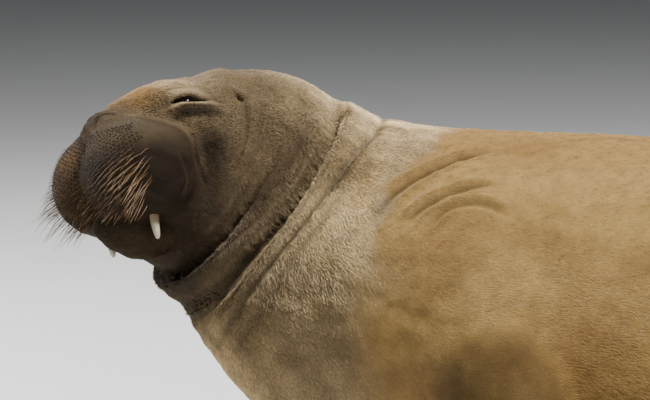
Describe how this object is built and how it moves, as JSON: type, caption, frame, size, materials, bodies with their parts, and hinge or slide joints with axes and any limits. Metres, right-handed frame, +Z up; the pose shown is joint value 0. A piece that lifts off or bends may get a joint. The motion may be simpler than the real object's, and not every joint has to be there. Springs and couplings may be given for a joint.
{
  "type": "walrus",
  "caption": "Young walrus cow, a life-size still model lying on her belly with her head raised and turned to her left, short tusks and a thick whiskered muzzle.",
  "frame": {"origin": "middle of the footprint's bounding box, on the floor she lies on", "axes": "+Z up, -X towards her muzzle, -Y her left side"},
  "size_m": [2.6888, 1.3554, 0.6891],
  "materials": {
    "coat": "short coarse tan fur over folded hide",
    "face_hide": "short grey-brown fur over folded hide",
    "muzzle_hide": "dark whisker pads with stiff amber whiskers",
    "flipper_hide": "thinly haired wrinkled hide",
    "ivory": "smooth worn ivory, brown at the root",
    "eyeball": "wet dark eye"
  },
  "bodies": {
    "root": {"head": "face_hide", "muzzle_left": "muzzle_hide", "muzzle_right": "muzzle_hide", "lower_jaw": "face_hide", "tusk_left": "ivory", "tusk_right": "ivory", "eye_left": "eyeball", "eye_right": "eyeball", "neck": "coat", "chest": "coat", "belly": "coat", "rump": "coat", "tail": "coat", "foreflipper_left": "flipper_hide", "foreflipper_right": "flipper_hide", "hindflipper_left": "flipper_hide", "hindflipper_right": "flipper_hide"}
  },
  "joints": []
}
